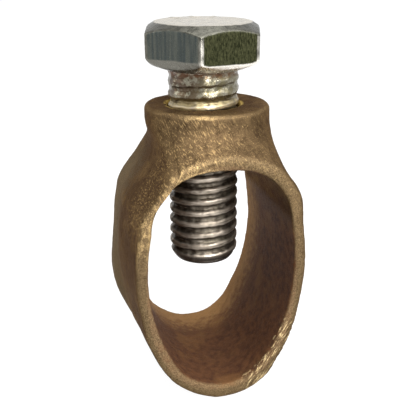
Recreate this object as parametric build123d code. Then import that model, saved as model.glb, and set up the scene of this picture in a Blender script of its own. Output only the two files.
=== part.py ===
from build123d import *

import os
from math import asin, cos, degrees, radians, sin, sqrt, tan

# Earth rod clamp: a cast gunmetal loop with a tapped boss, and the hexagon-head screw that works in it.
# The rod lies along Y in the round seat at the foot of the loop, and the screw comes down on it along Z.
# The origin is on the axis of the seated rod, half way through the loop. Lengths are in millimetres.

# ---- the rod, and the opening that it passes through
ROD_RADIUS = 7.1
ROD_CLEARANCE = 0.1
OPENING_WIDTH = 19.55
OPENING_HEIGHT = 30.3
FLANK_RADIUS = 26.5  # of the bowed sides that lead down to the round seat
SIDE_LEAN = 8.0  # of the opening's sides under the shoulders, inwards
SHOULDER_RADIUS = 7.5
CROWN_RADIUS = 24.0

# ---- the loop's wall
LOOP_DEPTH = 21.5  # along the rod
SIDE_WALL = 2.3  # on the parting line, half way through the loop
TOE_WALL = 2.9
CROWN_WALL = 2.4
DRAFT_ANGLE = 3.5  # of the outside, from the parting line to each mouth
OUTER_SHOULDER_RADIUS = 8.3
OUTER_LIP_FILLET = 0.55
INNER_LIP_CHAMFER = 0.25

# ---- the tapped boss
BOSS_RADIUS = 8.4
BOSS_RISE = 6.55  # from the opening's crown to the boss's top face
BOSS_CHEEK = 0.3  # the cheeks between boss and loop stand this much outside the boss
BOSS_SIDE_BLEND = 4.0  # of the cheeks into the loop's shoulders
BOSS_FRONT_BLEND = 2.8  # out to the loop's two faces
BOSS_FRONT_LIP = 1.7  # from the opening's crown to the foot of that blend, on each face
BOSS_FRONT_FALL = 40.0  # degrees below level, beyond the blend
BOSS_EDGE_CHAMFER = 0.4
TAPPED_HOLE_CHAMFER = 0.3

# ---- the screw: 3/8 in, 16 threads to the inch
THREAD_RADIUS = 4.7  # over the crests
THREAD_CLEARANCE = 0.05
SCREW_LENGTH = 28.0  # from the lower edge of the flats to the point
SCREW_TIP_HEIGHT = 7.95  # above the rod's axis, as delivered
POINT_CHAMFER = 1.0
HEAD_ACROSS_FLATS = 14.4
HEAD_HEIGHT = 4.3  # of the flats, with the chamfer above them
HEAD_TURN = -16.0  # of the hexagon about the screw's axis
HEAD_TOP_FACE_RADIUS = 6.3
HEAD_TOP_CHAMFER = 31.0  # degrees below level
HEAD_BEVEL_DEPTH = 1.0  # of the bevelled skirt under the flats
HEAD_BEVEL_ANGLE = 32.0  # of the skirt, inwards
HEAD_CONE_DEPTH = 0.8  # from the skirt's lower edge to the shank

# ---- sizes and levels that follow from those above
SEAT_RADIUS = ROD_RADIUS + ROD_CLEARANCE
HALF_OPENING = OPENING_WIDTH / 2
HALF_DEPTH = LOOP_DEPTH / 2
CROWN_LEVEL = OPENING_HEIGHT - SEAT_RADIUS
BOSS_TOP = CROWN_LEVEL + BOSS_RISE
HEAD_BOTTOM = SCREW_TIP_HEIGHT + SCREW_LENGTH
HEAD_RADIUS = HEAD_ACROSS_FLATS / 2 / cos(radians(30))


def loop_outline(foot, toe_radius, flank_radius, half_width, crown, shoulder_radius, crown_radius):
    """The face inside a closed outline in XZ: round toe, bowed flanks, leaning sides, shoulders and crown."""
    lean = radians(SIDE_LEAN)
    toe_angle = degrees(asin((flank_radius - half_width) / (flank_radius - toe_radius)))
    toe = JernArc((0, foot), (1, 0), toe_radius, toe_angle)
    flank = JernArc(toe @ 1, toe % 1, flank_radius, 90 - toe_angle + SIDE_LEAN)
    # the side is as long as it takes for the shoulder's arc to run smoothly into the crown's
    side_way = Vector(-sin(lean), cos(lean))
    inward = Vector(-cos(lean), -sin(lean))
    reach = (flank @ 1) + inward * shoulder_radius - Vector(0, crown - crown_radius)
    along = reach.dot(side_way)
    side_length = sqrt(along**2 - reach.dot(reach) + (crown_radius - shoulder_radius) ** 2) - along
    side = Line(flank @ 1, (flank @ 1) + side_way * side_length)
    centre = (side @ 1) + inward * shoulder_radius - Vector(0, crown - crown_radius)
    crown_half_angle = 90 - Vector(1, 0).get_angle(centre)
    shoulder = JernArc(side @ 1, side_way, shoulder_radius, 90 - SIDE_LEAN - crown_half_angle)
    top = JernArc(shoulder @ 1, shoulder % 1, crown_radius, crown_half_angle)
    half = Curve() + [toe, flank, side, shoulder, top]
    return Plane.XZ * make_face(half + mirror(half, Plane.YZ))


def opening():
    """The pointed oval that the rod and its conductor pass through, longer than the loop is deep."""
    outline = loop_outline(
        -SEAT_RADIUS, SEAT_RADIUS, FLANK_RADIUS, HALF_OPENING, CROWN_LEVEL, SHOULDER_RADIUS, CROWN_RADIUS
    )
    return extrude(outline, HALF_DEPTH * 1.2, both=True)


def mouths(body):
    """The two flat faces that the rod passes through."""
    return body.faces().filter_by(GeomType.PLANE).filter_by(Axis.Y)


def casting_envelope():
    """The loop and boss as seen along the rod, drawn on the parting line and drafted to both faces."""
    toe_radius = SEAT_RADIUS + TOE_WALL / 2
    loop = loop_outline(
        -SEAT_RADIUS - TOE_WALL,
        toe_radius,
        FLANK_RADIUS + SIDE_WALL,
        HALF_OPENING + SIDE_WALL,
        CROWN_LEVEL + CROWN_WALL,
        OUTER_SHOULDER_RADIUS,
        CROWN_RADIUS,
    )
    cheek = BOSS_RADIUS + BOSS_CHEEK
    above = BOSS_TOP + BOSS_RISE
    boss = Plane.XZ * Pos(0, above / 2) * Rectangle(2 * cheek, above)
    outline = loop + boss
    inner_corners = [v for v in outline.vertices() if abs(abs(v.X) - cheek) < 0.01 and v.Z < BOSS_TOP]
    outline = fillet(inner_corners, BOSS_SIDE_BLEND)
    back = extrude(outline, HALF_DEPTH, taper=DRAFT_ANGLE)
    front = extrude(outline, -HALF_DEPTH, taper=DRAFT_ANGLE)
    envelope = front + back
    lips = [edge for mouth in mouths(envelope) for edge in mouth.edges() if edge.center().Z < BOSS_TOP]
    return fillet(lips, OUTER_LIP_FILLET)


def boss_trim():
    """A round boss that flares out and down towards the loop's faces, and leaves everything below it."""
    fall = radians(BOSS_FRONT_FALL)
    flare_foot = BOSS_RADIUS + BOSS_FRONT_BLEND * (1 - sin(fall))
    foot_level = CROWN_LEVEL + BOSS_FRONT_LIP + (HALF_DEPTH - flare_foot) * tan(fall)
    far = 2 * (HALF_DEPTH + HALF_OPENING)
    far_level = foot_level - (far - flare_foot) * tan(fall)
    bottom = -2 * OPENING_HEIGHT
    up = Line((BOSS_RADIUS, BOSS_TOP), (BOSS_RADIUS, foot_level + BOSS_FRONT_BLEND * cos(fall)))
    flare = JernArc(up @ 1, (0, -1), BOSS_FRONT_BLEND, 90 - BOSS_FRONT_FALL)
    rest = Polyline(flare @ 1, (far, far_level), (far, bottom), (0, bottom), (0, BOSS_TOP), up @ 0)
    return revolve(Plane.XZ * make_face(Curve() + [up, flare, rest]), Axis.Z)


def tapped_hole():
    """The hole through the boss, at the thread's outside, with a countersink at its mouth."""
    radius = THREAD_RADIUS + THREAD_CLEARANCE
    mouth = radius + TAPPED_HOLE_CHAMFER
    bore = Pos(0, 0, CROWN_LEVEL) * Cylinder(radius, 4 * BOSS_RISE)
    sink = Pos(0, 0, BOSS_TOP - TAPPED_HOLE_CHAMFER / 2) * Cone(radius, mouth, TAPPED_HOLE_CHAMFER)
    return bore + sink


def clamp_body():
    body = casting_envelope() & boss_trim()
    top_rim = body.faces().sort_by(Axis.Z)[-1].edges()
    body = chamfer(top_rim, BOSS_EDGE_CHAMFER)
    body = body - opening()
    lips = [edge for mouth in mouths(body) for edge in mouth.inner_wires()[0].edges()]
    body = chamfer(lips, INNER_LIP_CHAMFER)
    return body - tapped_hole()


def clamp_screw():
    """The hexagon-head screw, hanging in the boss as delivered."""
    hexagon = RegularPolygon(HEAD_ACROSS_FLATS / 2, 6, major_radius=False, rotation=30 + HEAD_TURN)
    prism = Pos(0, 0, HEAD_BOTTOM) * extrude(hexagon, HEAD_HEIGHT)
    skirt = Pos(0, 0, HEAD_BOTTOM) * extrude(hexagon, -HEAD_BEVEL_DEPTH, taper=HEAD_BEVEL_ANGLE)
    drop = (HEAD_RADIUS - HEAD_TOP_FACE_RADIUS) * tan(radians(HEAD_TOP_CHAMFER))
    top = HEAD_BOTTOM + HEAD_HEIGHT
    skirt_bottom = HEAD_BOTTOM - HEAD_BEVEL_DEPTH
    skirt_radius = HEAD_ACROSS_FLATS / 2 - HEAD_BEVEL_DEPTH * tan(radians(HEAD_BEVEL_ANGLE))
    turned = revolve(
        Plane.XZ
        * make_face(
            Polyline(
                (0, top),
                (HEAD_TOP_FACE_RADIUS, top),
                (HEAD_RADIUS, top - drop),
                (HEAD_RADIUS, skirt_bottom),
                (0, skirt_bottom),
                close=True,
            )
        ),
        Axis.Z,
    )
    head = (prism + skirt) & turned
    shank = revolve(
        Plane.XZ
        * make_face(
            Polyline(
                (0, skirt_bottom + HEAD_BEVEL_DEPTH / 2),
                (skirt_radius, skirt_bottom + HEAD_BEVEL_DEPTH / 2),
                (skirt_radius, skirt_bottom),
                (THREAD_RADIUS, skirt_bottom - HEAD_CONE_DEPTH),
                (THREAD_RADIUS, SCREW_TIP_HEIGHT + POINT_CHAMFER),
                (THREAD_RADIUS - POINT_CHAMFER, SCREW_TIP_HEIGHT),
                (0, SCREW_TIP_HEIGHT),
                close=True,
            )
        ),
        Axis.Z,
    )
    return head + shank


os.makedirs("parts", exist_ok=True)
export_step(clamp_body(), "parts/clamp_body.step")
export_step(clamp_screw(), "parts/clamp_screw.step")
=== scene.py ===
"""The looks of the earth rod clamp: a browned gunmetal casting, and a steel screw with its real thread."""

import math

import bmesh
import bpy
from mathutils import Matrix, Vector, noise


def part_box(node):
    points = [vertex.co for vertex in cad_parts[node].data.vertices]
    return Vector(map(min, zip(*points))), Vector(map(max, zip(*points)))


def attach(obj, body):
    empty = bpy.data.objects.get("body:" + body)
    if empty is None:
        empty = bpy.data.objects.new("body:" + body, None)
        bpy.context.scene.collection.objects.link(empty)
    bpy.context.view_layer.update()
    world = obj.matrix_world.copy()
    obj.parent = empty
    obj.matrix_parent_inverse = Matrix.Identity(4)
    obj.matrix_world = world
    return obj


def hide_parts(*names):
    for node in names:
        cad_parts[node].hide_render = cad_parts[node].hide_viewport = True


MM = 0.001

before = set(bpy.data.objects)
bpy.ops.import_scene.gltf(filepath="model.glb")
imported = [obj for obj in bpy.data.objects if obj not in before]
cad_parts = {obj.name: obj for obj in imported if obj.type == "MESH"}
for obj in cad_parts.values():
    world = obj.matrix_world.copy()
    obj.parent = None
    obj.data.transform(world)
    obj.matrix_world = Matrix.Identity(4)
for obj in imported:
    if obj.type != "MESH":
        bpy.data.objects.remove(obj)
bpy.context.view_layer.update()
BODY_LOW, BODY_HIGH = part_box("clamp_body")
SCREW_LOW, SCREW_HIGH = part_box("clamp_screw")

# ---- sizes that follow from the frame
BOSS_TOP = BODY_HIGH[2]
SCREW_TIP = SCREW_LOW[2]
HEAD_TOP = SCREW_HIGH[2]

# ---- sizes of the screw's own detail, with angles in degrees
THREAD_PITCH = 25.4 / 16 * MM
THREAD_RADIUS = 4.7 * MM
THREAD_DEPTH = 0.44 * MM
HEAD_HEIGHT = 4.3 * MM
HEAD_ACROSS_FLATS = 14.4 * MM
HEAD_TURN = -16.0
HEAD_TOP_FACE_RADIUS = 6.3 * MM
HEAD_TOP_CHAMFER = 31.0
HEAD_BEVEL_DEPTH = 1.0 * MM
HEAD_BEVEL_ANGLE = 32.0
HEAD_CONE_DEPTH = 0.8 * MM
HEAD_BEVEL_DIP = 0.5 * MM
HEAD_VOXEL = 0.17 * MM
HEAD_ROUNDS = 3
MARK_TURNS = (62, 92, 122)
MARK_DISTANCE = 5.2 * MM
MARK_SIZE = (1.5 * MM, 0.5 * MM, 0.36 * MM)
MARK_SINK = 0.06 * MM
NECK_TOP = HEAD_TOP - HEAD_HEIGHT - HEAD_BEVEL_DEPTH - HEAD_CONE_DEPTH
NECK_THREAD = 0.36
NECK_LENGTH = 2.4 * MM
NECK_FADE = 3.0 * MM

# ---- how far the casting departs from the drawn form, in millimetres
BOSS_SHIFT = 0.5
WAIST_SLIMMER_LEFT = 1.0
WAIST_SLIMMER_RIGHT = 0.55
FAR_FLANK_SWELL = 1.7
NEAR_FLANK_SWELL = 0.4
SHOULDER_SWELL = 0.35
TOE_LEAN = 0.4

# ---- how finely the casting is divided, and how often it is smoothed
CASTING_VOXEL = 0.25 * MM
CASTING_ROUNDS = 8
BLEND_ROUNDS = 90

# ---- the opening's oval, in millimetres: |x / half width| ** power + |z / half height| ** power = 1,
# ---- with z counted from its middle
OPENING_HALF_WIDTH = 9.95
OPENING_HALF_HEIGHT = 15.6
OPENING_MIDDLE = 8.0
OPENING_POWER = 2.3

# ---- the lamps: name, azimuth and elevation in degrees, width and height in metres, power in watts
LAMPS = (
    ("key", 7, 40, 0.10, 0.24, 3.1),
    ("top", 20, 80, 0.5, 0.5, 3.0),
    ("low_front", 4, 5, 0.08, 0.14, 0.9),
    ("right", 55, 30, 0.3, 0.3, 0.9),
    ("left", -105, 20, 0.3, 0.3, 0.5),
)
LAMP_DISTANCE = 0.5
LAMP_TARGET = Vector((0, 0, 15 * MM))
WORLD_LIGHT = 0.2
FLOOR_DROP = 0.2 * MM
FLOOR_GLOW = 0.97
FLOOR_VEIL = 0.12

# ---- the camera: its place from the screw's axis and the boss's top, its angles in radians, its lens in
# ---- millimetres
CAMERA_PLACE = Vector((-23.58 * MM, -93.80 * MM, 20.10 * MM))
CAMERA_YAW = 0.2529
CAMERA_PITCH = -0.3478
CAMERA_ROLL = 0.0010
CAMERA_LENS = 63.6


def new_object(name, data):
    piece = bpy.data.objects.new(name, data)
    bpy.context.scene.collection.objects.link(piece)
    return piece


def step(value, low, high):
    """0 at low and before it, 1 at high and past it, with an S curve in between. Low may be the larger."""
    share = min(max((value - low) / (high - low), 0.0), 1.0)
    return share * share * (3 - 2 * share)


# ------------------------------------------------------------------ node helpers
class Nodes:
    """A material's node tree, with short calls for the nodes used here."""

    def __init__(self, name):
        self.material = bpy.data.materials.new(name)
        self.material.use_nodes = True
        self.tree = self.material.node_tree
        self.tree.nodes.clear()
        self.output = self.tree.nodes.new("ShaderNodeOutputMaterial")
        self.shader = self.tree.nodes.new("ShaderNodeBsdfPrincipled")
        self.link(self.shader.outputs["BSDF"], self.output.inputs["Surface"])
        self.place = self.tree.nodes.new("ShaderNodeTexCoord").outputs["Object"]

    def link(self, source, target):
        self.tree.links.new(source, target)

    def put(self, socket, value):
        if isinstance(value, bpy.types.NodeSocket):
            self.link(value, socket)
        else:
            socket.default_value = value

    def scaled(self, scale):
        node = self.tree.nodes.new("ShaderNodeMapping")
        node.inputs["Scale"].default_value = scale
        self.link(self.place, node.inputs["Vector"])
        return node.outputs["Vector"]

    def stretched(self, sizes, turn):
        """A space turned about Y, then divided by the sizes of a fleck along its own three axes."""
        node = self.tree.nodes.new("ShaderNodeMapping")
        node.vector_type = "TEXTURE"
        node.inputs["Scale"].default_value = sizes
        node.inputs["Rotation"].default_value = (0, math.radians(turn), 0)
        self.link(self.place, node.inputs["Vector"])
        return node.outputs["Vector"]

    def noise(self, scale, detail, rough, where, distortion=0.0):
        node = self.tree.nodes.new("ShaderNodeTexNoise")
        node.inputs["Scale"].default_value = scale
        node.inputs["Detail"].default_value = detail
        node.inputs["Roughness"].default_value = rough
        node.inputs["Distortion"].default_value = distortion
        self.link(where, node.inputs["Vector"])
        return node.outputs["Fac"]

    def ramp(self, value, low, high, out_low=0.0, out_high=1.0):
        """out_low at low and before it, out_high at high and past it. Low may be the larger."""
        node = self.tree.nodes.new("ShaderNodeMapRange")
        node.interpolation_type = "SMOOTHSTEP"
        node.inputs["From Min"].default_value = low
        node.inputs["From Max"].default_value = high
        node.inputs["To Min"].default_value = out_low
        node.inputs["To Max"].default_value = out_high
        self.link(value, node.inputs["Value"])
        return node.outputs["Result"]

    def math(self, operation, a, b=0.0):
        node = self.tree.nodes.new("ShaderNodeMath")
        node.operation = operation
        self.put(node.inputs[0], a)
        self.put(node.inputs[1], b)
        return node.outputs[0]

    def times(self, first, *others):
        for other in others:
            first = self.math("MULTIPLY", first, other)
        return first

    def larger(self, a, b):
        return self.math("MAXIMUM", a, b)

    def stirred(self, value, pattern, amount):
        """The value moved up and down by a noise pattern, by half the amount either way."""
        return self.math("ADD", value, self.times(self.math("SUBTRACT", pattern, 0.5), amount))

    def mix(self, factor, a, b):
        """The colour a where the factor is 0, and b where it is 1."""
        node = self.tree.nodes.new("ShaderNodeMix")
        node.data_type = "RGBA"
        self.put(node.inputs["Factor"], factor)
        self.put(node.inputs[6], a)
        self.put(node.inputs[7], b)
        return node.outputs[2]

    def axes(self):
        node = self.tree.nodes.new("ShaderNodeSeparateXYZ")
        self.link(self.place, node.inputs["Vector"])
        return node.outputs

    def facing(self):
        """The surface's own direction, in the world's axes."""
        geometry = self.tree.nodes.new("ShaderNodeNewGeometry")
        node = self.tree.nodes.new("ShaderNodeSeparateXYZ")
        self.link(geometry.outputs["Normal"], node.inputs["Vector"])
        return node.outputs

    def bump(self, height, distance, strength):
        node = self.tree.nodes.new("ShaderNodeBump")
        node.inputs["Strength"].default_value = strength
        node.inputs["Distance"].default_value = distance
        self.link(height, node.inputs["Height"])
        return node.outputs["Normal"]

    def attribute(self, name):
        node = self.tree.nodes.new("ShaderNodeAttribute")
        node.attribute_name = name
        return node.outputs["Fac"]


def rgb(r, g, b):
    """A colour given as it looks on a screen, 0 to 255, as Blender's linear colour."""
    def linear(value):
        value /= 255
        return value / 12.92 if value <= 0.04045 else ((value + 0.055) / 1.055) ** 2.4
    return (linear(r), linear(g), linear(b), 1.0)


# ------------------------------------------------------------------ the screw's mesh
def thread_profile(turn, height):
    """The share of the thread's depth cut away at this angle and height: 0 on a crest and 1 in a root."""
    phase = (height / THREAD_PITCH - turn / (2 * math.pi)) % 1.0
    flank = abs(2 * phase - 1)
    return 1 - step(flank, 0.14, 0.86)


def ragged(direction, height, scale, seed):
    point = Vector((direction.x * scale, direction.y * scale, height / MM * 0.9 + seed))
    return noise.noise(point)


def shank_radius(turn, height, top):
    """The shank's radius here: worn crests, dents, and a thread that fades toward the neck."""
    direction = Vector((math.cos(turn), math.sin(turn), 0))
    above_tip = (height - SCREW_TIP) / MM
    threaded = min(max((top - height - NECK_LENGTH) / NECK_FADE, 0.0), 1.0)
    share = NECK_THREAD + (1 - NECK_THREAD) * threaded
    depth = THREAD_DEPTH * share * thread_profile(turn, height)
    radius = THREAD_RADIUS - depth
    radius -= 0.10 * MM * (0.5 + 0.5 * ragged(direction, height, 1.6, 3.0)) * (1 - threaded)
    radius += 0.11 * MM * ragged(direction, height, 3.1, 11.0)
    radius += 0.07 * MM * ragged(direction, height * 2.7, 7.3, 29.0)
    point_limit = THREAD_RADIUS - 0.8 * MM * max(1 - above_tip / 1.6, 0.0) ** 1.7
    return min(radius, point_limit, THREAD_RADIUS - 0.005 * MM)


def ring(mesh, around, height, radius_at):
    """A level ring of vertices, as far from the axis as radius_at says for each angle."""
    row = []
    for column in range(around):
        turn = 2 * math.pi * column / around
        radius = radius_at(turn)
        row.append(mesh.verts.new((radius * math.cos(turn), radius * math.sin(turn), height)))
    return row


def join_rings(mesh, low, high):
    around = len(low)
    for column in range(around):
        after = (column + 1) % around
        mesh.faces.new((low[column], low[after], high[after], high[column]))


def shank(top):
    """A finely divided tube whose rings follow the thread, closed at both ends."""
    around = 160
    ring_spacing = 0.085 * MM
    rings = int((top - SCREW_TIP) / ring_spacing)
    mesh = bmesh.new()
    grid = []
    for row in range(rings + 1):
        height = SCREW_TIP + (top - SCREW_TIP) * row / rings
        grid.append(ring(mesh, around, height, lambda turn: shank_radius(turn, height, top)))
    for low, high in zip(grid, grid[1:]):
        join_rings(mesh, low, high)
    lower_end = mesh.verts.new((0, 0, SCREW_TIP))
    for column in range(around):
        mesh.faces.new((lower_end, grid[0][(column + 1) % around], grid[0][column]))
    upper_end = mesh.verts.new((0, 0, top))
    for column in range(around):
        mesh.faces.new((upper_end, grid[-1][column], grid[-1][(column + 1) % around]))
    return mesh


def cut_with_plane(mesh, point, outward):
    """Keeps what lies behind the plane and closes the cut."""
    everything = mesh.verts[:] + mesh.edges[:] + mesh.faces[:]
    cut = bmesh.ops.bisect_plane(mesh, geom=everything, plane_co=point, plane_no=outward, clear_outer=True)
    rim = [item for item in cut["geom_cut"] if isinstance(item, bmesh.types.BMEdge)]
    bmesh.ops.edgeloop_fill(mesh, edges=rim)


def head():
    """The forged hexagon: one solid of revolution, cut by its six flats and their bevels."""
    around = 144
    half_across = HEAD_ACROSS_FLATS / 2
    tilt = math.radians(HEAD_BEVEL_ANGLE)
    bottom = HEAD_TOP - HEAD_HEIGHT
    corner = half_across / math.cos(math.radians(30))
    drop = (corner - HEAD_TOP_FACE_RADIUS) * math.tan(math.radians(HEAD_TOP_CHAMFER))
    skirt = half_across - HEAD_BEVEL_DEPTH * math.tan(tilt)
    profile = (
        (HEAD_TOP_FACE_RADIUS, HEAD_TOP),
        (corner, HEAD_TOP - drop),
        (corner, bottom - 0.25 * MM),
        (skirt + 0.55 * MM, bottom - HEAD_BEVEL_DEPTH),
        (THREAD_RADIUS + 0.1 * MM, NECK_TOP - 0.02 * MM),
    )
    mesh = bmesh.new()
    rings = [ring(mesh, around, height, lambda turn: radius) for radius, height in profile]
    for high, low in zip(rings, rings[1:]):
        join_rings(mesh, low, high)
    mesh.faces.new(rings[0])
    mesh.faces.new(reversed(rings[-1]))
    for side in range(6):
        turn = math.radians(HEAD_TURN + 60 * side)
        outward = Vector((math.cos(turn), math.sin(turn), 0))
        cut_with_plane(mesh, outward * half_across, outward)
        bevel = Vector((outward.x * math.cos(tilt), outward.y * math.cos(tilt), -math.sin(tilt)))
        # the bevel's edge is lower at the right front
        dip = HEAD_BEVEL_DIP * max(math.cos(turn - math.radians(HEAD_TURN - 30)), 0)
        cut_with_plane(mesh, outward * half_across + Vector((0, 0, bottom - dip)), bevel)
    return mesh


def grade_marks(mesh):
    """Three plain raised bars by the head's rim, as a forging die leaves them."""
    for turn in MARK_TURNS:
        spin = Matrix.Rotation(math.radians(turn), 4, "Z")
        place = spin @ Matrix.Translation((MARK_DISTANCE, 0, HEAD_TOP - MARK_SINK))
        size = Matrix.Diagonal((*MARK_SIZE, 1))
        bmesh.ops.create_cube(mesh, size=1, matrix=place @ size)


def apply_modifiers(piece):
    bpy.context.view_layer.update()
    evaluated = piece.evaluated_get(bpy.context.evaluated_depsgraph_get())
    done = bpy.data.meshes.new_from_object(evaluated)
    piece.modifiers.clear()
    piece.vertex_groups.clear()
    piece.data = done


def add_smoothing(piece, rounds):
    ease = piece.modifiers.new("ease", "SMOOTH")
    ease.factor = 0.5
    ease.iterations = rounds
    return ease


def finely_divided(name, mesh, voxel, rounds):
    """The closed forms in mesh, fused into one even skin and eased with a few rounds of smoothing."""
    data = bpy.data.meshes.new(name)
    mesh.to_mesh(data)
    mesh.free()
    piece = new_object(name, data)
    skin = piece.modifiers.new("skin", "REMESH")
    skin.mode = "VOXEL"
    skin.voxel_size = voxel
    add_smoothing(piece, rounds)
    apply_modifiers(piece)
    return piece


def eased_again(piece, weight, rounds):
    """More smoothing where weight says so, for blends that a mould-maker cuts by hand."""
    group = piece.vertex_groups.new(name="blend")
    for vertex in piece.data.vertices:
        share = weight(vertex.co / MM)
        if share > 0.01:
            group.add([vertex.index], share, "REPLACE")
    add_smoothing(piece, rounds).vertex_group = "blend"
    apply_modifiers(piece)


def mark_convex(data):
    """Stores on each vertex how far it stands out of its neighbours: 0.5 is flat, more is an edge."""
    mesh = bmesh.new()
    mesh.from_mesh(data)
    mesh.normal_update()
    value = []
    for vertex in mesh.verts:
        out = 0.0
        for edge in vertex.link_edges:
            away = vertex.co - edge.other_vert(vertex).co
            out += away.normalized().dot(vertex.normal)
        value.append(out / max(len(vertex.link_edges), 1))
    neighbours = [[edge.other_vert(vertex).index for edge in vertex.link_edges] for vertex in mesh.verts]
    for _ in range(3):
        value = [
            0.4 * own + 0.6 * sum(value[index] for index in near) / len(near)
            for own, near in zip(value, neighbours)
        ]
    mesh.free()
    layer = data.attributes.new("convex", "FLOAT", "POINT")
    layer.data.foreach_set("value", [0.5 + item for item in value])


def smooth(data):
    data.polygons.foreach_set("use_smooth", [True] * len(data.polygons))
    data.update()


# ------------------------------------------------------------------ the casting's mesh (points in mm)
def opening_measure(point):
    """1 on the opening's surface, less inside it and more in the metal round it."""
    across = abs(point.x / OPENING_HALF_WIDTH) ** OPENING_POWER
    return across + abs((point.z - OPENING_MIDDLE) / OPENING_HALF_HEIGHT) ** OPENING_POWER


def boss_blend(point):
    """1 outside, from the loop's shoulders up the boss, and 0 on its top, in the bore and the opening."""
    away = math.hypot(point.x, point.y)
    share = step(point.z, 13.0, 18.0) * step(point.z, 28.9, 27.4) * step(away, 5.6, 6.6)
    return share * step(opening_measure(point), 1.06, 1.3)


def rough_skin(point):
    """How far the cast skin stands out here, by waves, grain, pits and file tracks. The bore has none."""
    swell = noise.noise(point * 0.28 + Vector((3, 7, 1)))
    grain = noise.noise(point * 1.3 + Vector((11, 2, 5)))
    pits = noise.noise(point * 2.6 + Vector((1, 19, 4)))
    in_bore = math.hypot(point.x, point.y) < 5.1 and point.z > 20
    rise = 0.0 if in_bore else 0.07 * swell + 0.025 * grain - 0.05 * max(pits - 0.35, 0) / 0.3
    tracks = noise.noise(Vector((point.x * 1.7, point.y * 0.6, point.z * 1.7)))
    rise -= file_work(point) * 0.13 * max(tracks + 0.1, 0)
    return rise - 0.03


def file_work(point):
    """1 on the stretch of the foot's lip that a coarse file has been over, fading to 0 beside it."""
    if point.y > -8.5 or point.z > 4 or point.x < 2.0:
        return 0.0
    return min((-8.5 - point.y) / 1.5, 1.0) * min((4 - point.z) / 2.5, 1.0) * min((point.x - 2.0) / 2, 1.0)


def boss_offset(point):
    """The boss was cast a little to one side of its bore, and its waist is slimmer than the pattern's."""
    away = math.hypot(point.x, point.y)
    shift = BOSS_SHIFT * step(point.z, 16, 21) * step(away, 5.4, 6.4)
    waist = step(point.z, 16.5, 21.5) * step(point.z, 28.5, 24.5) * step(abs(point.x), 5.5, 7.5)
    slimmer = math.copysign((WAIST_SLIMMER_LEFT if point.x < 0 else WAIST_SLIMMER_RIGHT) * waist, point.x)
    return (shift - slimmer) * step(opening_measure(point), 1.03, 1.35)


def flank_swell(point, normal):
    """How much fuller the flanks' outside is cast than drawn: most on the far half, and on one shoulder."""
    outside = step(normal.x * math.copysign(1, point.x), 0.1, 0.5)
    height = step(point.z, -10.0, -5.0) * step(point.z, 11.0, 0.0)
    low = step(point.z, -10.0, -6.0) * step(point.z, 5.0, -1.0)
    shoulder = step(point.z, 14.0, 18.5) * step(point.z, 22.5, 18.5) * step(point.x, 5.0, 8.0)
    far = step(point.y, 1.0, 8.0)
    swell = FAR_FLANK_SWELL * far * height + NEAR_FLANK_SWELL * (1 - far) * low + SHOULDER_SWELL * shoulder
    return math.copysign(outside * swell, point.x)


def toe_lean(point):
    """The toe leans a little to the right."""
    return TOE_LEAN * step(point.z, -4.0, -9.0)


def casting():
    """The CAD casting as it left the mould and the file: eased edges, rough skin and uneven forms."""
    mesh = bmesh.new()
    mesh.from_mesh(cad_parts["clamp_body"].data)
    piece = finely_divided("casting", mesh, CASTING_VOXEL, CASTING_ROUNDS)
    eased_again(piece, boss_blend, BLEND_ROUNDS)
    data = piece.data
    normals = [vertex.normal.copy() for vertex in data.vertices]
    for vertex, normal in zip(data.vertices, normals):
        point = vertex.co / MM
        vertex.co += normal * rough_skin(point) * MM
        vertex.co.x += (boss_offset(point) + flank_swell(point, normal) + toe_lean(point)) * MM
        vertex.co.x = min(max(vertex.co.x, BODY_LOW[0]), BODY_HIGH[0])
    mark_convex(data)
    smooth(data)
    return piece


def screw():
    """The screw: its dented head and its threaded shank, as two closed skins in one mesh."""
    top = head()
    grade_marks(top)
    piece = finely_divided("screw", top, HEAD_VOXEL, HEAD_ROUNDS)
    data = piece.data
    normals = [vertex.normal.copy() for vertex in data.vertices]
    for vertex, normal in zip(data.vertices, normals):
        point = vertex.co / MM
        dent = 0.04 * noise.noise(point * 0.8) + 0.015 * noise.noise(point * 2.9)
        vertex.co += normal * (dent - 0.02) * MM
    both = bmesh.new()
    both.from_mesh(data)
    tube = shank(NECK_TOP + 0.15 * MM)
    spare = bpy.data.meshes.new("shank")
    tube.to_mesh(spare)
    tube.free()
    both.from_mesh(spare)
    both.to_mesh(data)
    both.free()
    mark_convex(data)
    smooth(data)
    return piece


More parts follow.
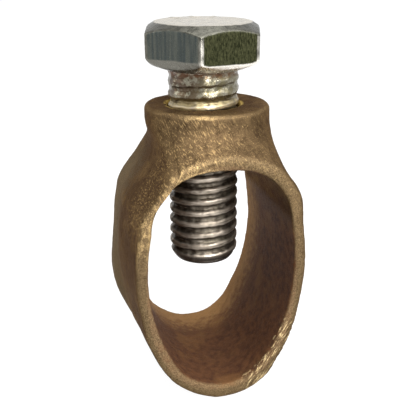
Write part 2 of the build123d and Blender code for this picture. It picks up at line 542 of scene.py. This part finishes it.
# ------------------------------------------------------------------ materials
def gunmetal():
    """Browned cast gunmetal: dark reddish inside, olive-brown outside, golden where it is worn, with
    painted highlights, glints, sheen and shade.
    """
    n = Nodes("gunmetal")
    mm = n.scaled((1000, 1000, 1000))
    x, y, z = n.axes()
    away = n.math("ABSOLUTE", y)
    broad = n.noise(0.22, 3, 0.5, mm)
    mottle = n.noise(1.1, 5, 0.62, mm)
    fine = n.noise(6.5, 5, 0.7, mm)
    specks = n.noise(5.2, 6, 0.78, mm, 0.6)
    skin = n.mix(n.ramp(broad, 0.35, 0.65), rgb(72, 57, 39), rgb(94, 76, 53))
    skin = n.mix(n.times(n.ramp(mottle, 0.42, 0.66), 0.65), skin, rgb(52, 39, 26))

    # inside the opening the browning is darker and redder, and lighter by the far mouth, where the
    # lightening is partly golden patina and partly painted light falling in from behind
    half_inside = n.math("DIVIDE", x, OPENING_HALF_WIDTH * MM)
    height_inside = n.math("DIVIDE", n.math("SUBTRACT", z, OPENING_MIDDLE * MM), OPENING_HALF_HEIGHT * MM)
    across = n.math("POWER", n.math("ABSOLUTE", half_inside), OPENING_POWER)
    upward = n.math("POWER", n.math("ABSOLUTE", height_inside), OPENING_POWER)
    radial = n.math("ADD", across, upward)
    within = n.ramp(radial, 1.08, 0.99)
    inner = n.mix(n.ramp(mottle, 0.35, 0.7), rgb(88, 58, 38), rgb(62, 38, 27))
    toward_far = n.stirred(y, mottle, 12 * MM)
    # painted light by the far mouth, together with golden patina
    inner = n.mix(n.ramp(toward_far, 3.0 * MM, 9.6 * MM), inner, rgb(138, 104, 66))
    inner = n.mix(n.ramp(broad, 0.52, 0.7, 0, 0.4), inner, rgb(118, 84, 50))
    colour = n.mix(within, skin, inner)

    # rubbed edges and lips
    broken = n.stirred(n.attribute("convex"), mottle, 0.16)
    faces_out = n.ramp(n.math("ABSOLUTE", n.facing()[1]), 0.3, 0.8)
    lip = n.times(n.ramp(away, 10.15 * MM, 10.6 * MM), faces_out)
    worn = n.larger(n.ramp(broken, 0.535, 0.64), n.times(lip, 0.75))
    gold = n.mix(n.ramp(fine, 0.38, 0.62), rgb(76, 60, 41), rgb(134, 114, 84))
    colour = n.mix(n.times(worn, n.ramp(mottle, 0.2, 0.55, 0.45, 0.9)), colour, gold)

    # bright specks, partly rough skin that has been knocked and partly painted glints, thickest round the
    # boss's front
    front = n.times(n.ramp(y, 2 * MM, -9 * MM), n.ramp(z, 14 * MM, 24 * MM))
    speck_and_glint = n.times(n.ramp(specks, 0.56, 0.68), n.ramp(front, 0, 1, 0.12, 0.6))
    speck_and_glint = n.times(speck_and_glint, n.ramp(within, 0, 1, 1, 0.15))
    colour = n.mix(speck_and_glint, colour, rgb(204, 174, 120))

    # steep scratches down the boss's front and its left shoulder
    hatch = n.stretched((0.16 * MM, 0.5 * MM, 1.1 * MM), -30)
    scratch = n.times(
        n.ramp(n.noise(1.0, 3, 0.6, hatch), 0.54, 0.66),
        n.ramp(z, 12 * MM, 17 * MM),
        n.ramp(x, 4 * MM, -3 * MM, 0.1, 0.5),
        n.ramp(y, -2 * MM, -6 * MM),
        n.ramp(within, 0, 1, 1, 0),
    )
    colour = n.mix(scratch, colour, rgb(182, 152, 106))

    # the coarse file's dark and bright tracks on the lip of the foot
    tracks = n.noise(1.0, 4, 0.7, n.stretched((0.25 * MM, 0.5 * MM, 1.6 * MM), 32))
    low = n.ramp(z, 3 * MM, 0)
    filed = n.times(n.ramp(y, -9.6 * MM, -10.3 * MM), low, n.ramp(x, 2 * MM, 4 * MM))
    colour = n.mix(n.times(filed, n.ramp(tracks, 0.46, 0.4, 0, 0.8)), colour, rgb(64, 49, 34))
    colour = n.mix(n.times(filed, n.ramp(tracks, 0.54, 0.62, 0, 0.8)), colour, rgb(206, 184, 138))

    # the bright edge of the left shoulder, in front: partly rubbed metal and partly a painted highlight
    # along the arch's rim
    rubbed_edge_and_highlight = n.times(
        n.ramp(z, 10 * MM, 15 * MM),
        n.ramp(x, 1 * MM, -3 * MM),
        n.ramp(broken, 0.53, 0.58),
        n.ramp(y, -6 * MM, -8 * MM),
        n.ramp(fine, 0.42, 0.58, 0.1, 0.7),
    )
    colour = n.mix(rubbed_edge_and_highlight, colour, rgb(208, 178, 126))

    # a painted grey sheen on the far half of the left flank, where light grazes it
    grey = n.times(n.ramp(toward_far, -2 * MM, 7 * MM), n.ramp(x, -6 * MM, -9 * MM))
    colour = n.mix(n.times(grey, n.ramp(within, 0, 1, 0.6, 0)), colour, rgb(102, 94, 80))

    # gold chips on the boss's top, round the bore
    from_axis = n.math("SQRT", n.math("ADD", n.times(x, x), n.times(y, y)))
    chips = n.times(n.ramp(from_axis, 5.5 * MM, 5.0 * MM), n.ramp(mottle, 0.42, 0.56))
    chips = n.times(chips, n.ramp(z, BOSS_TOP - 0.8 * MM, BOSS_TOP - 0.3 * MM))
    colour = n.mix(chips, colour, rgb(206, 180, 112))

    # painted shade: a dark line below the lip of the foot
    below_lip_band = n.times(n.ramp(away, 9.2 * MM, 9.6 * MM), n.ramp(away, 10.3 * MM, 9.9 * MM))
    painted_shade_below_lip = n.times(below_lip_band, low, n.ramp(x, -2 * MM, -4 * MM), n.ramp(radial, 1.1, 1.4), 0.7)
    colour = n.mix(painted_shade_below_lip, colour, rgb(40, 28, 22))

    n.put(n.shader.inputs["Base Color"], colour)
    n.put(n.shader.inputs["Metallic"], n.ramp(within, 0, 1, 0.85, 0.3))
    n.shader.inputs["Specular Tint"].default_value = rgb(176, 156, 126)
    rough = n.math("ADD", n.ramp(fine, 0.3, 0.7, 0.46, 0.64), n.times(within, 0.2))
    n.put(n.shader.inputs["Roughness"], n.math("SUBTRACT", rough, n.times(speck_and_glint, 0.15)))
    relief = n.math("ADD", n.times(n.noise(2.4, 5, 0.65, mm), 0.7), n.times(fine, 0.3))
    n.put(n.shader.inputs["Normal"], n.bump(relief, 0.14 * MM, 0.95))
    return n.material


def steel():
    """Dull plated steel: grey and brown stains, brighter crests, an olive cast on one side of the head, and
    painted highlights and shade.
    """
    n = Nodes("screw_steel")
    mm = n.scaled((1000, 1000, 1000))
    x, y, z = n.axes()
    broad = n.noise(0.3, 3, 0.5, mm)
    mottle = n.noise(1.2, 5, 0.65, mm)
    grain = n.noise(5.5, 5, 0.7, mm)
    streak = n.noise(2.2, 4, 0.6, n.scaled((1000, 1000, 60)))
    hairs = n.noise(6.5, 5, 0.7, n.scaled((1000, 1000, 300)))
    turned = n.noise(1.0, 4, 0.6, n.scaled((160, 160, 2600)))
    edge = n.attribute("convex")

    # the thread: roots darkened with painted shade, crests lighter as worn metal with a painted highlight,
    # and an olive cast
    root = n.mix(n.ramp(mottle, 0.35, 0.65), rgb(64, 57, 48), rgb(98, 91, 81))
    crest = n.mix(n.ramp(turned, 0.35, 0.65), rgb(128, 118, 106), rgb(184, 173, 159))
    shank_colour = n.mix(n.ramp(edge, 0.47, 0.56), root, crest)
    shank_colour = n.mix(n.times(n.ramp(broad, 0.5, 0.66), 0.2), shank_colour, rgb(78, 76, 54))

    # the yellow of the boss rubbed off just above it, and the dull point
    near_boss = n.times(
        n.ramp(z, BOSS_TOP + 3.2 * MM, BOSS_TOP + 0.3 * MM),
        n.ramp(z, BOSS_TOP - 2 * MM, BOSS_TOP),
        n.ramp(mottle, 0.3, 0.6, 0.1, 0.6),
    )
    shank_colour = n.mix(near_boss, shank_colour, rgb(172, 156, 112))
    point = n.ramp(z, SCREW_TIP + 1.6 * MM, SCREW_TIP + 0.8 * MM)
    shank_colour = n.mix(n.times(point, n.ramp(grain, 0.3, 0.6, 0.4, 0.95)), shank_colour, rgb(84, 80, 74))

    # the neck: olive patches, and a brown stain on the left
    on_neck = n.ramp(z, BOSS_TOP + 0.6 * MM, BOSS_TOP + 1.6 * MM)
    neck_colour = n.mix(n.ramp(mottle, 0.4, 0.6), rgb(132, 128, 112), rgb(98, 92, 66))
    stain = n.times(n.ramp(x, 0, -3 * MM), n.ramp(mottle, 0.4, 0.52))
    neck_colour = n.mix(stain, neck_colour, rgb(66, 50, 36))
    shank_colour = n.mix(n.times(on_neck, 0.8), shank_colour, neck_colour)

    # the head's flats: slate on the left and olive on the right
    slate = n.mix(n.ramp(streak, 0.35, 0.65), rgb(62, 68, 67), rgb(82, 85, 79))
    olive = n.mix(n.ramp(hairs, 0.35, 0.65), rgb(30, 33, 18), rgb(76, 77, 52))
    side = n.ramp(n.stirred(x, mottle, 0.8 * MM), -2.6 * MM, -2.0 * MM)
    flats = n.mix(side, slate, olive)

    # its bare metal: the top, the bevels, the six upright corners and the other edges
    up = n.facing()[2]
    sloping = n.larger(n.ramp(up, 0.15, 0.5), n.ramp(up, -0.12, -0.4))
    sixth = math.radians(60)
    whole_turns = math.radians(390 - HEAD_TURN)
    past_corner = n.math("MODULO", n.math("ADD", n.math("ARCTAN2", y, x), whole_turns), sixth)
    from_corner = n.math("MINIMUM", past_corner, n.math("SUBTRACT", sixth, past_corner))
    sloping = n.larger(sloping, n.ramp(from_corner, math.radians(2.9), math.radians(2.1)))
    bare = n.larger(sloping, n.ramp(n.stirred(edge, grain, 0.1), 0.54, 0.6))
    dull = n.mix(n.ramp(mottle, 0.3, 0.7), rgb(68, 67, 60), rgb(90, 89, 81))
    # the lower bevel: grey on the left, with a near-white painted highlight on the right
    lower_bevel_painted_highlight = n.mix(side, rgb(112, 110, 102), rgb(242, 237, 227))
    dull = n.mix(n.ramp(up, 0.1, -0.2), dull, lower_bevel_painted_highlight)
    # the top face painted pale, as lit from above
    painted_top_light = n.mix(n.ramp(mottle, 0.3, 0.7), rgb(172, 166, 152), rgb(200, 193, 180))
    head_colour = n.mix(bare, flats, n.mix(n.ramp(up, 0.9, 0.97), dull, painted_top_light))
    on_head = n.ramp(z, NECK_TOP - 0.15 * MM, NECK_TOP + 0.15 * MM)
    colour = n.mix(on_head, shank_colour, head_colour)

    # painted shade in the corner between neck and head, in a mottled brown
    painted_shade_under_head = n.times(
        n.ramp(z, NECK_TOP - 0.9 * MM, NECK_TOP - 0.2 * MM),
        n.ramp(z, NECK_TOP + 0.5 * MM, NECK_TOP),
        n.ramp(mottle, 0.35, 0.6, 0.2, 0.85),
    )
    colour = n.mix(painted_shade_under_head, colour, rgb(92, 64, 46))

    n.put(n.shader.inputs["Base Color"], colour)
    n.shader.inputs["Metallic"].default_value = 0.95
    on_thread = n.times(n.math("SUBTRACT", 1.0, on_head), n.math("SUBTRACT", 1.0, on_neck))
    rough = n.math("ADD", n.ramp(mottle, 0.3, 0.7, 0.2, 0.38), n.times(on_thread, 0.16))
    n.put(n.shader.inputs["Roughness"], rough)
    relief = n.math("ADD", n.times(streak, 0.5), n.times(grain, 0.5))
    n.put(n.shader.inputs["Normal"], n.bump(relief, 0.06 * MM, 0.7))
    return n.material


def seen_directly(tree):
    """1 for rays from the camera, off a mirror or through glass, and 0 for light that falls on things."""
    path = tree.nodes.new("ShaderNodeLightPath")
    seen = path.outputs["Is Camera Ray"]
    for kind in ("Is Glossy Ray", "Is Transmission Ray"):
        either = tree.nodes.new("ShaderNodeMath")
        either.operation = "MAXIMUM"
        tree.links.new(seen, either.inputs[0])
        tree.links.new(path.outputs[kind], either.inputs[1])
        seen = either.outputs[0]
    return seen


def white_floor():
    """White to the eye and in reflections, with a light shadow."""
    n = Nodes("white_floor")
    tree = n.tree
    n.shader.inputs["Base Color"].default_value = (0.8, 0.8, 0.8, 1)
    n.shader.inputs["Roughness"].default_value = 0.9
    glow = tree.nodes.new("ShaderNodeEmission")
    glow.inputs["Strength"].default_value = FLOOR_GLOW
    veil = tree.nodes.new("ShaderNodeBsdfDiffuse")
    veil.inputs["Color"].default_value = (FLOOR_VEIL, FLOOR_VEIL, FLOOR_VEIL, 1)
    both = tree.nodes.new("ShaderNodeAddShader")
    n.link(glow.outputs["Emission"], both.inputs[0])
    n.link(veil.outputs["BSDF"], both.inputs[1])
    choose = tree.nodes.new("ShaderNodeMixShader")
    n.link(seen_directly(tree), choose.inputs["Fac"])
    n.link(n.shader.outputs["BSDF"], choose.inputs[1])
    n.link(both.outputs["Shader"], choose.inputs[2])
    n.link(choose.outputs["Shader"], n.output.inputs["Surface"])
    return n.material


# ------------------------------------------------------------------ the studio
def floor():
    size = 3.0
    data = bpy.data.meshes.new("floor")
    corners = [(-size, -size, 0), (size, -size, 0), (size, size, 0), (-size, size, 0)]
    data.from_pydata(corners, [], [(0, 1, 2, 3)])
    plane = new_object("floor", data)
    plane.location.z = BODY_LOW[2] - FLOOR_DROP
    data.materials.append(white_floor())


def softbox(name, azimuth, elevation, width, height, power):
    """A square lamp that looks at the clamp. Azimuth 0 is in front, and 90 on the right."""
    turn = math.radians(azimuth)
    rise = math.radians(elevation)
    way = Vector((math.sin(turn) * math.cos(rise), -math.cos(turn) * math.cos(rise), math.sin(rise)))
    lamp = bpy.data.lights.new(name, "AREA")
    lamp.shape = "RECTANGLE"
    lamp.size = width
    lamp.size_y = height
    lamp.energy = power
    item = new_object(name, lamp)
    item.location = LAMP_TARGET + way * LAMP_DISTANCE
    item.rotation_euler = way.to_track_quat("Z", "Y").to_euler()


def white_world():
    """White behind the clamp and in its reflections, and a weak grey light on it."""
    world = bpy.data.worlds.new("studio")
    world.use_nodes = True
    tree = world.node_tree
    background = tree.nodes["Background"]
    background.inputs["Color"].default_value = (1, 1, 1, 1)
    strength = tree.nodes.new("ShaderNodeMapRange")
    strength.inputs["To Min"].default_value = WORLD_LIGHT
    strength.inputs["To Max"].default_value = 1.0
    tree.links.new(seen_directly(tree), strength.inputs["Value"])
    tree.links.new(strength.outputs["Result"], background.inputs["Strength"])
    bpy.context.scene.world = world


def camera():
    """Close in front, a little to the left and above, with a slight roll."""
    data = bpy.data.cameras.new("camera")
    data.sensor_width = 36.0
    data.lens = CAMERA_LENS
    data.clip_start = 0.005
    item = new_object("camera", data)
    level = Vector((math.cos(CAMERA_YAW), -math.sin(CAMERA_YAW), 0))
    ahead = Vector((math.sin(CAMERA_YAW), math.cos(CAMERA_YAW), 0))
    forward = ahead * math.cos(CAMERA_PITCH) + Vector((0, 0, math.sin(CAMERA_PITCH)))
    above = level.cross(forward)
    right = level * math.cos(CAMERA_ROLL) + above * math.sin(CAMERA_ROLL)
    up = above * math.cos(CAMERA_ROLL) - level * math.sin(CAMERA_ROLL)
    turn = Matrix((right, up, -forward)).transposed()
    place = CAMERA_PLACE + Vector((0, 0, BOSS_TOP))
    item.matrix_world = Matrix.Translation(place) @ turn.to_4x4()
    bpy.context.scene.camera = item


casting_piece = casting()
casting_piece.data.materials.clear()
casting_piece.data.materials.append(gunmetal())
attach(casting_piece, "clamp")
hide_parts("clamp_body")

screw_piece = screw()
screw_piece.data.materials.clear()
screw_piece.data.materials.append(steel())
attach(screw_piece, "screw")
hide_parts("clamp_screw")

floor()
for lamp in LAMPS:
    softbox(*lamp)
white_world()
camera()
bpy.context.scene.view_settings.view_transform = "Standard"
